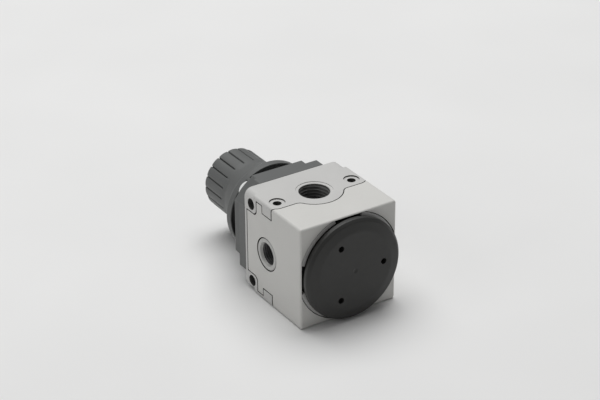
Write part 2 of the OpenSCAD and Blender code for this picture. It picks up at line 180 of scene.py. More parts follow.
def prism(name, outline, axis, low, high):
    """Extrudes an outline along x (outline in y, z), y (in x, z) or z (in x, y)."""
    place = {"x": lambda a, b, h: (h, a, b),
             "y": lambda a, b, h: (a, h, b),
             "z": lambda a, b, h: (a, b, h)}[axis]
    n = len(outline)
    verts = [place(a, b, h) for h in (low, high) for a, b in outline]
    faces = [[i, (i + 1) % n, n + (i + 1) % n, n + i] for i in range(n)]
    faces += [list(range(n)), list(range(2 * n - 1, n - 1, -1))]
    return make_object(name, verts, faces)


def block(name, low, high):
    """A plain box between two corners."""
    outline = [(low[0], low[1]), (high[0], low[1]), (high[0], high[1]), (low[0], high[1])]
    return prism(name, outline, "z", low[2], high[2])


def about(centre, axis):
    """Gives a function that places a point, given by radius, distance, cosine and sine, about an axis."""
    return {"x": lambda r, h, c, s: (h, centre[0] + r * c, centre[1] + r * s),
            "y": lambda r, h, c, s: (centre[0] + r * c, h, centre[1] + r * s),
            "z": lambda r, h, c, s: (centre[0] + r * c, centre[1] + r * s, h)}[axis]


def on_circle(radius, degrees):
    """A point in x and z on a circle about the knob's axis."""
    t = math.radians(degrees)
    return radius * math.cos(t), HALF + radius * math.sin(t)


def turned(name, profile, centre=(0, HALF), axis="y", segments=SEGMENTS, closed=False, turns=None):
    """Turns a profile of (radius, distance) about an axis. An open profile starts and ends on the axis."""
    turns = turns or [k / segments for k in range(segments)]
    place = about(centre, axis)
    verts = []
    rings = []
    for r, h in profile:
        if r < 1e-6:
            rings.append([len(verts)] * segments)
            verts.append(place(0, h, 1, 0))
            continue
        rings.append(list(range(len(verts), len(verts) + segments)))
        for turn in turns:
            t = 2 * math.pi * turn
            verts.append(place(r, h, math.cos(t), math.sin(t)))
    pairs = list(zip(rings, rings[1:])) + ([(rings[-1], rings[0])] if closed else [])
    faces = []
    for a, b in pairs:
        for k in range(segments):
            m = (k + 1) % segments
            corners = [a[k], a[m], b[m], b[k]]
            corners = [v for i, v in enumerate(corners) if v not in corners[:i]]
            if len(corners) > 2:
                faces.append(corners)
    return make_object(name, verts, faces)


def cylinder(name, r, low, high, centre, axis, segments=64):
    """A plain round bar."""
    return turned(name, [(0, low), (r, low), (r, high), (0, high)], centre, axis, segments)


def combine(base, others, operation):
    """Applies a boolean of base with each other object, and removes those."""
    for other in others:
        step = base.modifiers.new("cut", "BOOLEAN")
        step.operation = operation
        step.solver = "EXACT"
        step.object = other
        apply_modifiers(base)
        bpy.data.objects.remove(other)
    return base


def apply_modifiers(obj):
    """Puts the evaluated mesh in place of the object's own."""
    depsgraph = bpy.context.evaluated_depsgraph_get()
    depsgraph.update()
    mesh = bpy.data.meshes.new_from_object(obj.evaluated_get(depsgraph))
    old = obj.data
    obj.modifiers.clear()
    obj.data = mesh
    bpy.data.meshes.remove(old)
    mesh.name = obj.name
    return obj


def soften(obj, width, angle=32):
    """Merges slivers, bevels the sharp edges and smooths the shading of the rest."""
    bm = bmesh.new()
    bm.from_mesh(obj.data)
    bmesh.ops.remove_doubles(bm, verts=bm.verts, dist=MERGE * MM)
    bmesh.ops.dissolve_degenerate(bm, edges=bm.edges, dist=MERGE * MM)
    bmesh.ops.dissolve_limit(bm, angle_limit=math.radians(0.6), verts=bm.verts, edges=bm.edges)
    bm.to_mesh(obj.data)
    bm.free()
    bevel = obj.modifiers.new("soften", "BEVEL")
    bevel.width = width * MM
    bevel.segments = 2
    bevel.limit_method = "ANGLE"
    bevel.angle_limit = math.radians(angle)
    bevel.miter_outer = "MITER_ARC"
    apply_modifiers(obj)
    return smooth_by_angle(obj, angle)


def smooth_by_angle(obj, angle):
    """Shades the faces smooth, but keeps the edges that are sharper than an angle."""
    bm = bmesh.new()
    bm.from_mesh(obj.data)
    limit = math.radians(angle)
    for face in bm.faces:
        face.smooth = True
    for edge in bm.edges:
        edge.smooth = len(edge.link_faces) == 2 and edge.calc_face_angle(0) < limit
    bm.to_mesh(obj.data)
    bm.free()
    weighted = obj.modifiers.new("even", "WEIGHTED_NORMAL")
    weighted.keep_sharp = True
    weighted.weight = 80
    return apply_modifiers(obj)


def join(objects):
    """Joins objects into the first one."""
    with bpy.context.temp_override(active_object=objects[0], selected_editable_objects=objects):
        bpy.ops.object.join()
    return objects[0]


# Materials ------------------------------------------------------------------


class Nodes:
    """Short names for building a node tree."""

    def __init__(self, material):
        material.use_nodes = True
        self.tree = material.node_tree
        self.shader = self.tree.nodes["Principled BSDF"]
        self.coords = self.add("ShaderNodeTexCoord").outputs["Object"]

    def add(self, kind, **values):
        node = self.tree.nodes.new(kind)
        for key, value in values.items():
            setattr(node, key, value)
        return node

    def link(self, a, b):
        self.tree.links.new(a, b)

    def noise(self, scale, detail=3.0, rough=0.55, distortion=0.0):
        node = self.add("ShaderNodeTexNoise")
        node.inputs["Scale"].default_value = scale
        node.inputs["Detail"].default_value = detail
        node.inputs["Roughness"].default_value = rough
        node.inputs["Distortion"].default_value = distortion
        self.link(self.coords, node.inputs["Vector"])
        return node.outputs["Fac"]

    def between(self, value, from_low, from_high, to_low, to_high):
        """Maps a value from one range to another."""
        node = self.add("ShaderNodeMapRange")
        for key, number in zip(("From Min", "From Max", "To Min", "To Max"),
                               (from_low, from_high, to_low, to_high)):
            node.inputs[key].default_value = number
        self.link(value, node.inputs["Value"])
        return node.outputs["Result"]

    def mix(self, factor, a, b):
        node = self.add("ShaderNodeMix", data_type="RGBA")
        self.link(factor, node.inputs["Factor"])
        for key, colour in (("A", a), ("B", b)):
            socket = [s for s in node.inputs if s.name == key and s.type == "RGBA"][0]
            if isinstance(colour, tuple):
                socket.default_value = (*colour, 1)
            else:
                self.link(colour, socket)
        return [s for s in node.outputs if s.type == "RGBA"][0]

    def bump(self, height, strength, distance, after=None):
        node = self.add("ShaderNodeBump")
        node.inputs["Strength"].default_value = strength
        node.inputs["Distance"].default_value = distance
        self.link(height, node.inputs["Height"])
        if after is not None:
            self.link(after, node.inputs["Normal"])
        return node.outputs["Normal"]


def shade(colour, factor):
    """A lighter or darker colour."""
    return tuple(max(0.0, min(1.0, c * factor)) for c in colour)


def moulded(name, colour, roughness, grain, spread, specular, grain_height):
    """Moulded plastic or cast metal: slow colour drift, fine grain in bump and roughness, faint scuffs."""
    material = bpy.data.materials.new(name)
    n = Nodes(material)
    slow = n.noise(70, 3, 0.5)
    fine = n.noise(grain, 4, 0.6)
    wear = n.noise(420, 6, 0.72, 0.4)
    tone = n.mix(n.between(slow, 0.35, 0.65, 0, 1), shade(colour, 1 - spread), shade(colour, 1 + spread))
    speckle = n.mix(n.between(fine, 0.3, 0.7, 0, 1), shade(colour, 0.93), shade(colour, 1.06))
    base = n.add("ShaderNodeMix", data_type="RGBA")
    base.inputs["Factor"].default_value = 0.35
    sockets = [s for s in base.inputs if s.type == "RGBA"]
    n.link(tone, sockets[0])
    n.link(speckle, sockets[1])
    mixed = [s for s in base.outputs if s.type == "RGBA"][0]
    scuffed = n.mix(n.between(wear, 0.68, 0.8, 0, 0.35), mixed, shade(colour, 1.25))
    n.link(scuffed, n.shader.inputs["Base Color"])
    rough = n.between(wear, 0.35, 0.75, roughness - 0.05, roughness + 0.07)
    n.link(rough, n.shader.inputs["Roughness"])
    bumped = n.bump(fine, 0.35, grain_height * MM)
    n.link(n.bump(slow, 0.25, 0.05 * MM, bumped), n.shader.inputs["Normal"])
    n.shader.inputs["Specular IOR Level"].default_value = specular
    return material


def machined(name, colour, roughness):
    """Turned metal: fine tool rings along the axis, stains and a little colour drift."""
    material = bpy.data.materials.new(name)
    n = Nodes(material)
    stretch = n.add("ShaderNodeMapping")
    stretch.inputs["Scale"].default_value = (0.04, 1, 0.04)
    n.link(n.coords, stretch.inputs["Vector"])
    rings = n.add("ShaderNodeTexNoise")
    rings.inputs["Scale"].default_value = 5200
    rings.inputs["Detail"].default_value = 2
    n.link(stretch.outputs["Vector"], rings.inputs["Vector"])
    stain = n.noise(260, 4, 0.6)
    base = n.mix(n.between(stain, 0.35, 0.7, 0, 1), shade(colour, 0.86), shade(colour, 1.08))
    n.link(base, n.shader.inputs["Base Color"])
    n.link(n.between(stain, 0.3, 0.7, roughness - 0.06, roughness + 0.1), n.shader.inputs["Roughness"])
    n.link(n.bump(rings.outputs["Fac"], 0.25, 0.02 * MM), n.shader.inputs["Normal"])
    n.shader.inputs["Metallic"].default_value = 1.0
    return material


# Colour, roughness, grain, spread of the colour, specular level, height of the grain in mm
MOULDED = {
    "core_metal": ((0.575, 0.572, 0.56), 0.42, 3300, 0.025, 0.42, 0.014),
    "shell_plastic": ((0.64, 0.635, 0.612), 0.46, 4200, 0.02, 0.4, 0.01),
    "cap_plastic": ((0.029, 0.029, 0.0275), 0.46, 4800, 0.06, 0.42, 0.01),
    "grey_plastic": ((0.128, 0.132, 0.130), 0.5, 4200, 0.05, 0.4, 0.016),
    "white_plastic": ((0.86, 0.87, 0.86), 0.35, 4200, 0.02, 0.5, 0.008),
    "bush_metal": ((0.50, 0.50, 0.485), 0.40, 3600, 0.03, 0.45, 0.012),
    # Threads of the main ports, darkened as painted shade inside the bore
    "port_metal_painted_shade": ((0.15, 0.15, 0.145), 0.34, 3600, 0.06, 0.6, 0.006),
    # Threads of the gauge ports, darkened as painted shade deep in the ring
    "gauge_thread_painted_shade": ((0.07, 0.07, 0.072), 0.34, 3600, 0.06, 0.6, 0.006),
    # Inside the bores: bare metal, darkened further as painted shade
    "bare_bore_painted_shade": ((0.09, 0.09, 0.085), 0.45, 3600, 0.06, 0.5, 0.006),
    # Painted shade for the faces deep in the seams
    "painted_seam_shade": ((0.05, 0.048, 0.044), 0.6, 3600, 0.06, 0.3, 0.006),
    "rubber": ((0.018, 0.018, 0.018), 0.62, 5200, 0.12, 0.35, 0.012),
}

# Colour, roughness
MACHINED = {
    "brass": ((0.70, 0.52, 0.22), 0.32),
    "steel": ((0.62, 0.63, 0.65), 0.34),
    "spring_steel": ((0.42, 0.43, 0.45), 0.36),
    "alloy": ((0.66, 0.67, 0.69), 0.36),
}

MATERIALS = {name: moulded(name, *values) for name, values in MOULDED.items()}
MATERIALS.update({name: machined(name, *values) for name, values in MACHINED.items()})

SLOTS = {entry["node"]: entry["material_slot"] for entry in frame["record"]["subparts"]}
for node_name, cad_object in frame["nodes"].items():
    cad_object.data.materials.clear()
    cad_object.data.materials.append(MATERIALS[SLOTS[node_name]])


def paint_bore_shade(piece, material, bores):
    """Gives the faces that lie wholly inside bores, each (radius, low, high, centre, axis), a dark colour: bare
    metal, darkened further as painted shade.
    """
    piece.data.materials.append(MATERIALS[material])
    across = {"x": (1, 2, 0), "y": (0, 2, 1), "z": (0, 1, 2)}
    spots = [(v.co.x / MM, v.co.y / MM - FRONT, v.co.z / MM) for v in piece.data.vertices]
    for radius, low, high, centre, axis in bores:
        a, b, along = across[axis]
        inside = {i for i, spot in enumerate(spots) if low < spot[along] < high
                  and math.hypot(spot[a] - centre[0], spot[b] - centre[1]) < radius + 0.05}
        for face in piece.data.polygons:
            if inside.issuperset(face.vertices):
                face.material_index = len(piece.data.materials) - 1
    return piece


def paint_seam_shade(piece, material):
    """Gives the body's faces that lie well below its outside a near-black colour: painted shade in the seams."""
    piece.data.materials.append(MATERIALS[material])
    for face in piece.data.polygons:
        x, y, z = face.center / MM
        side = HALF - abs(x)
        end = HALF - abs(z - HALF)
        depth = min(side, end)
        edge_r = REAR_EDGE_R if y - FRONT > REAR_EDGE_START - 0.1 else EDGE_R
        if max(side, end) < edge_r:
            depth = edge_r - math.hypot(edge_r - side, edge_r - end)
        wall = abs(face.normal.x) < 0.9 if side < end else abs(face.normal.z) < 0.5
        deep = depth > SEAM_DEPTH or (depth > SEAM_LIP and wall)
        if deep and SEAM_DEPTH < y - FRONT < REAR - SEAM_DEPTH:
            face.material_index = len(piece.data.materials) - 1
    return piece


def place_piece(piece, body, node, slot, material=None):
    """Gives a finished piece its material and its body, keeps it within the CAD's bounds, and hides the CAD node that
    it stands for.
    """
    if not piece.data.materials:
        piece.data.materials.append(MATERIALS[material or slot])
    low, high = cad_bounds
    for vertex in piece.data.vertices:
        vertex.co = [min(high[i], max(low[i], vertex.co[i])) for i in range(3)]
    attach(piece, body)
    if node:
        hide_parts(node)
    return piece


# Body: core and shell -------------------------------------------------------

# The core's front edge on a port face: straight, with a bulge round the port and round corners
CORE_FRONT = 18.6
CORE_SIDE_FRONT = 20.4
CORNER_X = 18.0
BULGE_R = 11.0
FILLET_R = 3.0

# The core's tab, strip and corner block on a gauge side
TAB_END = 26.5
TAB_H = 4.9
STRIP_H = 1.6
BLOCK_START = 31.0
BLOCK_H = 7.8

# The core's rim at the bonnet, the core's start behind the cap, and the shell's walls
REAR_RIM = 1.3
BLOCK_FRONT = 5.0
SIDE_WALL = 2.3
PORT_WALL = 2.0

# Small holes and their spot faces beside the main ports
PAD_HOLES_X = (-16.8, 16.8)
PAD_HOLE_Y = PORT_Y - 0.2
PAD_HOLE_R = 1.7
PAD_HOLE_DEPTH = 8
SPOT_R = 3.15
SPOT_DEPTH = 0.55

# Through holes of the joining kit
KIT_HOLE_Y = BLOCK_START + 3.6
KIT_HOLE_Z = 4.65
KIT_HOLE_R = 2.3

# The core's inside from the front to the bonnet, as radius and distance
CORE_CAVITY = [(17.0, -1), (17.0, 12), (9.5, 12), (9.5, 21), (5.5, 21), (5.5, 24), (9.5, 24), (9.5, 33),
               (13, 33), (13, 37.6), (15.5, 37.6), (15.5, REAR + 1)]
PASSAGE_R = 2.8
GAUGE_PASSAGE_R = 1.5
SCREW_HOLE_R = 1.27

# Arc walls round the cap
COLLAR_R = 21.9
COLLAR_IN_R = 20.35
COLLAR_HALF_ANGLE = 28.8
COLLAR_FLAT = 20.75
COLLAR_START = 0.15


def core_outline(grow):
    """The core's outline on a port face, in x and y."""
    drop = CORE_SIDE_FRONT - CORE_FRONT
    run = HALF - CORNER_X
    corner_r = (run * run + drop * drop) / (2 * drop)
    sweep = math.degrees(math.asin(run / corner_r))
    fillet_y = CORE_FRONT - FILLET_R
    reach = BULGE_R + FILLET_R
    fillet_x = math.sqrt(reach * reach - (PORT_Y - fillet_y) ** 2)
    lean = math.degrees(math.atan2(PORT_Y - fillet_y, fillet_x))
    corner = arc(CORNER_X, CORE_FRONT + corner_r, corner_r + grow, 270, 270 + sweep, 5)
    fillet = arc(fillet_x, fillet_y, FILLET_R - grow, 180 - lean, 90, 8)
    right = fillet + corner + [(HALF + 2, CORE_SIDE_FRONT - grow), (HALF + 2, REAR + 2)]
    left = [(-x, y) for x, y in reversed(right)]
    bulge = arc(0, PORT_Y, BULGE_R + grow, 180 + lean, 360 - lean, 40)
    return left + bulge[1:-1] + right


def side_outline(grow, upper):
    """The core's outline on a gauge side, in y and z, for its upper or lower half."""
    points = [(8, -2), (8, TAB_H + grow), (TAB_END + grow, TAB_H + grow), (TAB_END + grow, STRIP_H + grow),
              (BLOCK_START - grow, STRIP_H + grow), (BLOCK_START - grow, BLOCK_H + grow),
              (REAR + 2, BLOCK_H + grow), (REAR + 2, -2)]
    radii = [0, 0, 0.5, 0.3, 0.3, 2.2, 0, 0]
    outline = rounded(points, radii)
    if upper:
        outline = [(y, WIDTH - z) for y, z in reversed(outline)]
    return outline


def raised(points):
    """Lifts an outline drawn about the knob's axis to its height."""
    return [(x, z + HALF) for x, z in points]


def square_outline(width, corner_r):
    """A square about the knob's axis with round corners."""
    h = width / 2
    return raised(rounded([(-h, -h), (h, -h), (h, h), (-h, h)], corner_r))


def cut_square_outline(width, cut, mark_cut, corner_r):
    """A square with cut corners. The corner of the white mark has a cut of its own."""
    h = width / 2
    f = h - cut
    m = h - mark_cut
    points = [(-f, -h), (f, -h), (h, -f), (h, f), (f, h), (-m, h), (-h, m), (-h, -f)]
    return raised(rounded(points, corner_r, 4))


def core_skin(grow):
    """The part of the body that the core fills out to the surface."""
    inner = HALF - SIDE_WALL - SEAM + grow
    side_grow = grow * SIDE_SEAM / SEAM
    keep = block("keep", (-inner, 0, -1), (inner, REAR + 1, WIDTH + 1))
    sides = [prism("side", side_outline(side_grow, upper), "x", -HALF - 1, HALF + 1) for upper in (True, False)]
    combine(keep, sides, "UNION")
    skin = prism("skin", core_outline(grow), "z", -0.5, WIDTH + 0.5)
    return combine(skin, [keep], "INTERSECT")


def body_limits():
    """A box with rounded long edges, rounder towards the bonnet."""
    front = prism("limits", square_outline(WIDTH, EDGE_R), "y", -1, REAR_EDGE_START)
    rear = prism("limits_rear", square_outline(WIDTH, REAR_EDGE_R), "y", BLOCK_START, REAR)
    return combine(front, [rear], "UNION")


def drilled(base, holes):
    """Cuts round holes, each (radius, low, high, centre, axis)."""
    return combine(base, [cylinder("hole", *hole) for hole in holes], "DIFFERENCE")


def port_bore(mouth_z, inward):
    """The port's mouth: a shallow recess, a short lead-in and the wide bore that the thread liner fills."""
    lip_r = PORT_LEAD_R - 0.05
    steps = [(0, -1), (PORT_MOUTH_R, -1), (PORT_MOUTH_R, 0.28), (PORT_LEAD_R + 0.1, 0.34), (lip_r, 0.5),
             (lip_r, 0.7), (LINER_R, 0.7), (LINER_R, LINER_END), (0, LINER_END)]
    return turned("port_cut", [(r, mouth_z + inward * depth) for r, depth in steps], (0, PORT_Y), "z", 96)


def screw_holes():
    """The small threaded holes beside the main ports and the two through holes of the joining kit."""
    holes = []
    for x in PAD_HOLES_X:
        holes.append((PAD_HOLE_R, -1, PAD_HOLE_DEPTH, (x, PAD_HOLE_Y), "z"))
        holes.append((PAD_HOLE_R, WIDTH - PAD_HOLE_DEPTH, WIDTH + 1, (x, PAD_HOLE_Y), "z"))
    for z in (KIT_HOLE_Z, WIDTH - KIT_HOLE_Z):
        holes.append((KIT_HOLE_R, -HALF - 1, HALF + 1, (KIT_HOLE_Y, z), "x"))
    return holes


def core_casting():
    """The core: a skin that shows, a heart inside, a rim at the bonnet, and everything bored into it."""
    inner_x = HALF - SIDE_WALL - SEAM
    inner_z = HALF - PORT_WALL - SEAM
    core = core_skin(0)
    heart = block("heart", (-inner_x + 0.01, BLOCK_FRONT, HALF - inner_z),
                  (inner_x - 0.01, REAR - 0.4, HALF + inner_z))
    rim = prism("rim", square_outline(WIDTH + 2, 1), "y", REAR - REAR_RIM, REAR + 0.5)
    combine(core, [heart, rim], "UNION")
    combine(core, [body_limits()], "INTERSECT")
    combine(core, [turned("cavity", [(0, -1)] + CORE_CAVITY + [(0, REAR + 1)])], "DIFFERENCE")
    combine(core, [port_bore(WIDTH, -1), port_bore(0, 1)], "DIFFERENCE")
    holes = [(PASSAGE_R, HALF + 8, HALF + 14, (0, 18), "z"), (PASSAGE_R, 7.5, HALF - 8, (0, 27.5), "z")]
    for x in PAD_HOLES_X:
        for face, inward in ((WIDTH, -1), (0, 1)):
            low, high = sorted((face - inward, face + inward * SPOT_DEPTH))
            holes.append((SPOT_R, low, high, (x, PAD_HOLE_Y), "z"))
    holes += screw_holes()
    for side in (-1, 1):
        low, high = sorted((side * (HALF - 9.5), side * (HALF + 1)))
        holes.append((BUSH_R + 0.2, low, high, (GAUGE_Y, HALF), "x"))
        low, high = sorted((0, side * 13))
        holes.append((GAUGE_PASSAGE_R, low, high, (GAUGE_Y + 2.7, HALF), "x"))
    for k in range(4):
        holes.append((SCREW_HOLE_R, BLOCK_START, REAR + 1, on_circle(SCREW_CIRCLE, 45 + 90 * k), "y"))
    drilled(core, holes)
    soften(core, 0.07)
    core.data.materials.append(MATERIALS["core_metal"])
    # Faces deep in the seams get painted shade
    return paint_seam_shade(core, "painted_seam_shade")


def collar_walls():
    """Four arc walls of the core round the closing cap."""
    walls = []
    for k in range(4):
        first, last = 45 + 90 * k - COLLAR_HALF_ANGLE, 45 + 90 * k + COLLAR_HALF_ANGLE
        outer = arc(0, 0, COLLAR_R, first, last, 28)
        inner = arc(0, 0, COLLAR_IN_R, last, first, 28)
        trimmed = [[max(-COLLAR_FLAT, min(COLLAR_FLAT, v)) for v in point] for point in outer + inner]
        wall = prism("collar", raised(trimmed), "y", COLLAR_START, BLOCK_FRONT + 0.3)
        wall.data.materials.append(MATERIALS["core_metal"])
        walls.append(soften(wall, 0.12, 40))
    return walls


def rounded_box(width, depth):
    """The shell's outside: long edges rounded, the front edge a little less."""
    rings = []
    steps = 5
    front_r = 0.9
    for k in range(steps + 1):
        t = math.radians(90 * k / steps)
        inset = front_r * (1 - math.sin(t))
        outline = square_outline(width - 2 * inset, max(0.3, EDGE_R - inset))
        rings.append((outline, front_r * (1 - math.cos(t))))
    rings.append((rings[-1][0], depth))
    n = len(rings[0][0])
    verts = [(x, y, z) for outline, y in rings for x, z in outline]
    faces = [[j * n + i, j * n + (i + 1) % n, (j + 1) * n + (i + 1) % n, (j + 1) * n + i]
             for j in range(len(rings) - 1) for i in range(n)]
    faces += [list(range(n)), list(range(len(rings) * n - 1, (len(rings) - 1) * n - 1, -1))]
    return make_object("shell_cover", verts, faces)


def shell_cover():
    """The shell: a hollow box with a round window for the cap, cut away where the core shows."""
    cover = rounded_box(WIDTH, REAR - REAR_RIM - SEAM)
    cavity = block("cavity", (-HALF + SIDE_WALL, BLOCK_FRONT - 0.1, PORT_WALL),
                   (HALF - SIDE_WALL, REAR + 1, WIDTH - PORT_WALL))
    flat = HALF - 0.6
    opening = cylinder("opening", 22.2, -2, BLOCK_FRONT + 0.6, (0, HALF), "y", 160)
    window = prism("window", [(-flat, HALF - flat), (flat, HALF - flat), (flat, HALF + flat), (-flat, HALF + flat)],
                   "y", -1.5, BLOCK_FRONT + 0.5)
    combine(opening, [window], "INTERSECT")
    combine(cover, [cavity, opening, core_skin(SEAM)], "DIFFERENCE")
    for side in (-1, 1):
        low, high = sorted((side * (HALF - 6), side * (HALF + 1)))
        drilled(cover, [(BUSH_R + BUSH_GAP, low, high, (GAUGE_Y, HALF), "x")])
    soften(cover, 0.07)
    cover.data.materials.append(MATERIALS["shell_plastic"])
    # Faces deep in the seams get painted shade
    return paint_seam_shade(cover, "painted_seam_shade")


def thread_liner(name, thread, r_out, mouth, inward, length, centre, axis):
    """A closed sleeve with a true helical thread on its inside."""
    r_minor, r_major, pitch = thread
    around = THREAD_SEGMENTS
    rows = int(length / pitch * THREAD_ROWS)
    lead_r = (r_minor + r_major) / 2
    place = about(centre, axis)
    verts = []
    for row in range(rows + 1):
        depth = length * row / rows
        lead = max(0.0, 1 - depth / (0.9 * pitch))
        for k in range(around):
            phase = (depth / pitch + k / around + THREAD_START) % 1.0
            tooth = abs(2 * phase - 1)
            tooth = min(1.0, max(0.0, (tooth - 0.1) / 0.7))
            r = r_minor + (r_major - r_minor) * tooth
            r = r + (lead_r - r) * lead
            t = 2 * math.pi * k / around
            verts.append(place(r, mouth + inward * depth, math.cos(t), math.sin(t)))
    for end in (0, 1):
        for k in range(around):
            t = 2 * math.pi * k / around
            verts.append(place(r_out, mouth + inward * length * end, math.cos(t), math.sin(t)))
    outer = (rows + 1) * around
    faces = []
    for row in range(rows):
        for k in range(around):
            m = (k + 1) % around
            faces.append([row * around + k, row * around + m, (row + 1) * around + m, (row + 1) * around + k])
    for k in range(around):
        m = (k + 1) % around
        faces.append([outer + k, outer + m, outer + around + m, outer + around + k])
        faces.append([k, m, outer + m, outer + k])
        faces.append([rows * around + k, rows * around + m, outer + around + m, outer + around + k])
    liner = make_object(name, verts, faces)
    return smooth_by_angle(liner, 50)


def build_body():
    """The core with its arc walls, the threads of the main ports, and the shell."""
    core = join([core_casting()] + collar_walls())
    core.name = "core_casting"
    place_piece(core, "housing", "core_body", "core_metal")
    bores = [(LINER_R, 0.45, 12, (0, PORT_Y), "z"), (LINER_R, WIDTH - 12, WIDTH - 0.45, (0, PORT_Y), "z")]
    # Faces inside the screw holes and port bores: bare metal, darkened as painted shade
    paint_bore_shade(core, "bare_bore_painted_shade", screw_holes() + bores)
    for name, mouth, inward in (("upper", WIDTH, -1), ("lower", 0, 1)):
        liner = thread_liner("port_thread_" + name, PORT_THREAD, LINER_R - 0.02,
                             mouth + inward * LINER_START, inward, LINER_LEN, (0, PORT_Y), "z")
        # The liner's thread is darkened as painted shade
        place_piece(liner, "housing", None, "core_metal", "port_metal_painted_shade")
    place_piece(shell_cover(), "housing", "shell", "shell_plastic")


# Gauge ports ----------------------------------------------------------------


def gauge_bush(side):
    """Ring in the gauge port with its thread, a chamfer at the mouth."""
    face = side * BUSH_FACE
    inner = side * BUSH_IN
    lean = -side
    profile = [(GAUGE_R + 0.62, face + lean * 0.03), (GAUGE_R + 0.8, face), (BUSH_R - 0.25, face),
               (BUSH_R - 0.07, face + lean * 0.08), (BUSH_R, face + lean * 0.25), (BUSH_R, inner),
               (BUSH_BORE, inner), (BUSH_BORE, face + lean * 1.1), (GAUGE_R + 0.15, face + lean * 1.1)]
    ring = turned("ring", profile, (GAUGE_Y, HALF), "x", 96, closed=True)
    ring.data.materials.append(MATERIALS["bush_metal"])
    smooth_by_angle(ring, 30)
    liner = thread_liner("liner", GAUGE_THREAD, BUSH_BORE - 0.02,
                         face + lean * 1.12, lean, 7.2, (GAUGE_Y, HALF), "x")
    # The thread is darkened as painted shade
    liner.data.materials.append(MATERIALS["gauge_thread_painted_shade"])
    return join([ring, liner])


def build_gauge_ports():
    """The rings on both sides."""
    for side, name in ((-1, "left"), (1, "right")):
        bush = gauge_bush(side)
        bush.name = "gauge_port_ring_" + name
        place_piece(bush, "housing", "gauge_bush_" + name, "bush_metal")


# Closing cap ----------------------------------------------------------------

CAP_LIP = -2.5
SPANNER_CIRCLE = 12.8
SPANNER_HOLE_R = 1.24
STEM_GUIDE_R = 1.56


def cap_piece():
    """Turned cap with a crowned rim, three spanner holes and the moulding's gate mark."""
    face = CAP_FACE
    front = rounded([(0, face), (16.2, face), (19.9, face + 0.75), (CAP_R - 0.05, CAP_LIP - 0.35),
                     (CAP_R - 0.02, -1.05), (19.6, -1.0), (19.6, 4.4), (16.9, 4.4), (16.9, 8.6), (15.3, 8.6),
                     (15.3, 10.7), (16.9, 10.7), (16.9, 11.7), (13, 11.7), (13, 6), (5.5, 6), (5.5, 12), (0, 12)],
                    [0, 6, 0.8, 0.7, 0.45, 0.3, 0.3, 0.2, 0.2, 0.1, 0.1, 0.1, 0.3, 0.3, 0.3, 0.3, 0.3, 0],
                    6, closed=False)
    gate = [(0, face + 0.22), (0.7, face + 0.2), (0.95, face + 0.03), (1.25, face + 0.02), (1.5, face)]
    cap = turned("closing_cap_cover", gate + front[1:], segments=192)
    holes = []
    for k in range(3):
        holes.append((SPANNER_HOLE_R, face - 1, 1.0, on_circle(SPANNER_CIRCLE, 120 * k), "y", 40))
    drilled(cap, holes + [(STEM_GUIDE_R, 7, 13, (0, HALF), "y", 40)])
    return soften(cap, 0.14, 40)


# Bonnet -------------------------------------------------------------------------

# From the body on: a joint line, a square plate, an octagonal step, four corner bosses and the tower
JOINT = 0.22
PLATE_END = REAR + 4.7
STEP_END = PLATE_END + 2.9
BOSS_END = STEP_END + 6.2
TOWER_R = 11.4
TOWER_END = 74.0
PLATE_CUT = 7.2
STEP_CUT = 12.3
STEP_MARK_CUT = 8.2
BOSS_R = 19.8
BOSS_IN_R = 13.2
BOSS_HALF_ANGLE = 13

# The white mark and the rib beside it stand on the rim of one boss
RIM_IN_R = 19.2
RIB_H = 2.0
MARK_ANGLE = 134.8
MARK_HALF_W = 2.9
MARK_H = 1.35


def upright_rib():
    """A short wall along the rim of the marked boss, beside the white mark."""
    first, last = MARK_ANGLE - 12.5, MARK_ANGLE - 8.9
    outline = arc(0, 0, BOSS_R, first, last, 6) + arc(0, 0, RIM_IN_R, last, first, 6)
    return prism("rib", raised(outline), "y", BOSS_END - 0.3, BOSS_END + RIB_H)


def bonnet_piece():
    """The bonnet in one piece, hollow, with slots for the nut's ears and holes for its screws."""
    outline = cut_square_outline(WIDTH, PLATE_CUT, PLATE_CUT, 0.8)
    plate = prism("bonnet_cover", outline, "y", REAR + JOINT, PLATE_END)
    outline = cut_square_outline(WIDTH - 1.2, PLATE_CUT, PLATE_CUT, 0.8)
    joint = prism("joint", outline, "y", REAR + 0.04, REAR + 1)
    outline = cut_square_outline(WIDTH, STEP_CUT, STEP_MARK_CUT, 0.6)
    step = prism("step", outline, "y", PLATE_END - 0.3, STEP_END)
    tower = turned("tower", [(0, STEP_END - 0.5), (14.4, STEP_END - 0.5)]
                   + rounded([(14.4, STEP_END - 0.4), (14.4, STEP_END + 3), (TOWER_R, STEP_END + 3.6),
                              (TOWER_R, TOWER_END), (0, TOWER_END)], [0, 0.4, 1.2, 0.4, 0], 5, closed=False))
    parts = [joint, step, tower]
    for k in range(4):
        first, last = 45 + 90 * k - BOSS_HALF_ANGLE, 45 + 90 * k + BOSS_HALF_ANGLE
        outer = arc(0, 0, BOSS_R, first, last, 16)
        inner = arc(0, 0, BOSS_IN_R, last, first, 10)
        parts.append(prism("boss", raised(outer + inner), "y", STEP_END - 0.3, BOSS_END))
    parts.append(upright_rib())
    combine(plate, parts, "UNION")
    hollow = turned("hollow", [(0, REAR - 1), (13, REAR - 1), (13, REAR + 3.8), (9.8, REAR + 3.8), (9.8, 71),
                               (4.11, 71), (4.11, TOWER_END + 1), (0, TOWER_END + 1)])
    combine(plate, [hollow], "DIFFERENCE")
    slot = block("slot", (-10.8, 54, HALF - 1.7), (10.8, 71, HALF + 1.7))
    combine(plate, [slot], "DIFFERENCE")
    holes = []
    for k in range(4):
        centre = on_circle(SCREW_CIRCLE, 45 + 90 * k)
        holes.append((1.35, REAR - 1, BOSS_END + 1, centre, "y", 40))
        holes.append((2.4, PLATE_END, BOSS_END + 2, centre, "y", 48))
    drilled(plate, holes)
    return soften(plate, 0.22, 34)


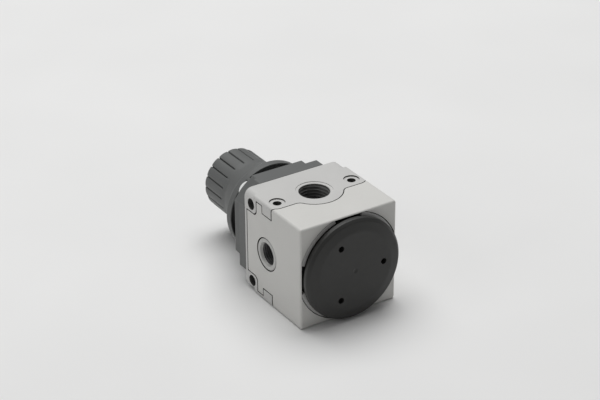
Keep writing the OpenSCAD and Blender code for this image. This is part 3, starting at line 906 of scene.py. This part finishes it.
def screw_heads():
    """M2.5 socket-head screws in the bonnet's corner bosses."""
    screws = []
    low = PLATE_END + 0.05
    for k in range(4):
        centre = on_circle(SCREW_CIRCLE, 45 + 90 * k)
        profile = rounded([(0, 31.5), (1.23, 31.6), (1.23, low), (2.25, low), (2.25, low + 2.45), (0, low + 2.45)],
                          [0, 0.2, 0.05, 0.15, 0.35, 0], 4, closed=False)
        screw = turned("screw", profile, centre, "y", 48)
        socket = prism("socket", [(centre[0] + 1.15 * math.cos(math.radians(60 * i)),
                                   centre[1] + 1.15 * math.sin(math.radians(60 * i))) for i in range(6)],
                       "y", low + 1.2, low + 4)
        combine(screw, [socket], "DIFFERENCE")
        screws.append(soften(screw, 0.08, 40))
    return join(screws)


def marker_piece():
    """White mark that stands on the rim of one boss, its top edge round."""
    round_r = (MARK_HALF_W ** 2 + MARK_H ** 2) / (2 * MARK_H)
    steps = 16
    verts = []
    faces = []
    for i in range(steps + 1):
        across = MARK_HALF_W * (2 * i / steps - 1) * 0.995
        top = BOSS_END + MARK_H - round_r + math.sqrt(round_r ** 2 - across ** 2) - 0.02
        t = math.radians(MARK_ANGLE) + across / BOSS_R
        for r in (RIM_IN_R + 0.03, BOSS_R - 0.03):
            for y in (BOSS_END + 0.03, max(top, BOSS_END + 0.08)):
                verts.append((r * math.cos(t), y, HALF + r * math.sin(t)))
    for i in range(steps):
        a, b = 4 * i, 4 * i + 4
        faces += [[a, a + 1, b + 1, b], [a + 2, b + 2, b + 3, a + 3], [a, b, b + 2, a + 2],
                  [a + 1, a + 3, b + 3, b + 1]]
    faces += [[0, 2, 3, 1], [4 * steps, 4 * steps + 1, 4 * steps + 3, 4 * steps + 2]]
    mark = make_object("index_mark", verts, faces)
    return soften(mark, 0.1, 40)


def build_bonnet():
    """The bonnet, its screws and the white mark."""
    place_piece(bonnet_piece(), "housing", "bonnet", "grey_plastic")
    screws = screw_heads()
    screws.name = "bonnet_screw_set"
    place_piece(screws, "housing", "bonnet_screws", "steel")
    place_piece(marker_piece(), "housing", "index_marker", "white_plastic")


# Knob ---------------------------------------------------------------------------

GRIP_R = 13.3
SKIRT_WALL = 0.65
WEB_LOW = 76.2
WEB_HIGH = 79.0

# Ribs round the grip: grooves between them, and a slight crown on each
RIBS = 18
RIB_LEN = 13.4
GROOVE_DEPTH = 0.75
GROOVE_SHARE = 0.085
CROWN = 0.22


def knob_profile():
    """The knob's section, from the web's middle over the outside and back inside."""
    outside = rounded([(9.0, KNOB_END - 1.3), (9.0, KNOB_END), (GRIP_R, KNOB_END), (GRIP_R, 72.5), (GRIP_R - 0.1, 69),
                       (14.2, SKIRT_Y + 9.2), (16.0, SKIRT_Y + 5.2), (SKIRT_R, SKIRT_Y + 3.1), (SKIRT_R, SKIRT_Y),
                       (SKIRT_R - SKIRT_WALL, SKIRT_Y), (SKIRT_R - SKIRT_WALL, SKIRT_Y + 3.0),
                       (11.9, SKIRT_Y + 3.3), (11.9, WEB_LOW),
                       (4.0, WEB_LOW), (4.0, WEB_HIGH), (9.0, WEB_HIGH)],
                      [0.2, 0.3, 0.9, 30, 6, 6, 3, 0.7, 0.25, 0.2, 0.3, 0.4, 0.3, 0.2, 0.2, 0.4], 6)
    dense = []
    for i, (r, y) in enumerate(outside):
        nr, ny = outside[(i + 1) % len(outside)]
        dense.append((r, y))
        run = math.hypot(nr - r, ny - y)
        if run > 0.9 and min(r, nr) > 12.5 and y > SKIRT_Y + 4:
            pieces = int(run / 0.45)
            dense += [(r + (nr - r) * k / pieces, y + (ny - y) * k / pieces) for k in range(1, pieces)]
    return dense


def groove_depth(turn, y):
    """How far the grip is cut in at an angle (in turns) and a place along the knob."""
    phase = (turn * RIBS + 0.5) % 1.0 - 0.5
    groove = GROOVE_DEPTH * max(0.0, 1 - abs(phase) / GROOVE_SHARE)
    crown = CROWN * (1 - 2 * abs(phase)) ** 2
    start = KNOB_END - RIB_LEN
    fade = min(1.0, max(0.0, (y - start) / 0.9))
    long_fade = min(1.0, max(0.0, (y - start + 2.5) / 9))
    return groove * fade + crown * long_fade


def knob_piece():
    """The knob, turned, with its grip cut into ribs."""
    offsets = [0, 0.03, 0.06, GROOVE_SHARE, 0.12, 0.19, 0.28, 0.38]
    offsets = sorted(offsets + [0.5] + [-v for v in offsets[1:]])
    turns = [(k + v) / RIBS for k in range(RIBS) for v in offsets]
    knob = turned("knob_grip", knob_profile(), segments=len(turns), closed=True, turns=turns)
    for vertex in knob.data.vertices:
        x = vertex.co.x
        z = vertex.co.z - HALF * MM
        y = vertex.co.y / MM - FRONT
        r = math.hypot(x, z)
        if r > 10.5 * MM and y > KNOB_END - RIB_LEN - 3:
            if r < 12.2 * MM and y < KNOB_END - 0.5:
                continue
            outer = min(1.0, (r / MM - 10.5) / 1.6)
            cut = groove_depth(math.atan2(z, x) / (2 * math.pi), y) * outer * MM
            vertex.co.x = x * (r - cut) / r
            vertex.co.z = z * (r - cut) / r + HALF * MM
    knob.data.update()
    return smooth_by_angle(knob, 38)


def cap_disc():
    """Pressed-in disc in the knob's end, slightly dished."""
    profile = rounded([(0, 83.45), (8.9, 83.45), (8.9, KNOB_END - 0.3), (8.2, KNOB_END - 0.3),
                       (7.6, KNOB_END - 0.55), (0, KNOB_END - 0.75)], [0, 0.1, 0.15, 0.15, 0.4, 0], 4, closed=False)
    return smooth_by_angle(turned("knob_disc", profile, segments=96), 40)


def build_knob():
    """The knob and the disc in its end."""
    place_piece(knob_piece(), "knob", "knob", "grey_plastic")
    place_piece(cap_disc(), "knob", "knob_cap", "grey_plastic")


# Stage, camera and light, in metres ---------------------------------------------

FLOOR_REACH = 3.0
FLOOR_GAP = 0.00002
WORLD_STRENGTH = 0.17
LIGHT_AIM = (0, 0, 0.02)

CAMERA_AIM = (-0.0040, -0.0126, 0.0382)
CAMERA_DISTANCE = 0.7312
CAMERA_AZIMUTH = -32.55
CAMERA_ELEVATION = 28.50
CAMERA_ROLL = -0.41
CAMERA_LENS = 115.2


def build_stage():
    """A plain pale floor, just under the object."""
    floor_mesh = bpy.data.meshes.new("studio_floor")
    r = FLOOR_REACH
    floor_mesh.from_pydata([(-r, -r, 0), (r, -r, 0), (r, r, 0), (-r, r, 0)], [], [[0, 1, 2, 3]])
    floor = bpy.data.objects.new("studio_floor", floor_mesh)
    floor.location.z = -FLOOR_GAP
    bpy.context.scene.collection.objects.link(floor)
    paper = bpy.data.materials.new("paper")
    n = Nodes(paper)
    tone = n.mix(n.between(n.noise(9, 2), 0.3, 0.7, 0, 1), (0.80, 0.80, 0.795), (0.83, 0.83, 0.825))
    n.link(tone, n.shader.inputs["Base Color"])
    n.shader.inputs["Roughness"].default_value = 0.7
    n.shader.inputs["Specular IOR Level"].default_value = 0.15
    floor_mesh.materials.append(paper)


def area_light(name, place, size, power):
    """A soft box that looks at the object."""
    light = bpy.data.lights.new(name, "AREA")
    light.shape = "RECTANGLE"
    light.size, light.size_y = size
    light.energy = power
    obj = bpy.data.objects.new(name, light)
    obj.location = place
    obj.rotation_euler = (Vector(LIGHT_AIM) - Vector(place)).to_track_quat("-Z", "Y").to_euler()
    bpy.context.scene.collection.objects.link(obj)


def build_light():
    """A dim white world, a large box above and behind, and a weak one on the left."""
    world = bpy.data.worlds.new("studio")
    bpy.context.scene.world = world
    world.use_nodes = True
    background = world.node_tree.nodes["Background"]
    background.inputs["Color"].default_value = (1.0, 1.0, 1.0, 1)
    background.inputs["Strength"].default_value = WORLD_STRENGTH
    area_light("top_box", (0.15, 0.35, 1.3), (1.3, 1.0), 16.9)
    area_light("left_box", (-1.3, 0.1, 0.75), (0.8, 0.8), 2.4)
    bpy.context.scene.view_settings.view_transform = "Standard"
    bpy.context.scene.view_settings.look = "None"


def build_camera():
    """A long lens looking down at the front left of the object."""
    azimuth, elevation, roll = [math.radians(a) for a in (CAMERA_AZIMUTH, CAMERA_ELEVATION, CAMERA_ROLL)]
    back = Vector((math.sin(azimuth) * math.cos(elevation), -math.cos(azimuth) * math.cos(elevation),
                   math.sin(elevation)))
    right = Vector((0, 0, 1)).cross(back).normalized()
    up = back.cross(right)
    turned_right = math.cos(roll) * right + math.sin(roll) * up
    turned_up = math.cos(roll) * up - math.sin(roll) * right
    data = bpy.data.cameras.new("camera")
    data.sensor_width = 36
    data.lens = CAMERA_LENS
    data.clip_start = 0.05
    camera = bpy.data.objects.new("camera", data)
    bpy.context.scene.collection.objects.link(camera)
    turn = Matrix((turned_right, turned_up, back)).transposed().to_4x4()
    camera.matrix_world = Matrix.Translation(Vector(CAMERA_AIM) + back * CAMERA_DISTANCE) @ turn
    bpy.context.scene.camera = camera


build_camera()
build_body()
build_gauge_ports()
place_piece(cap_piece(), "housing", "closing_cap", "cap_plastic")
build_bonnet()
build_knob()
build_stage()
build_light()
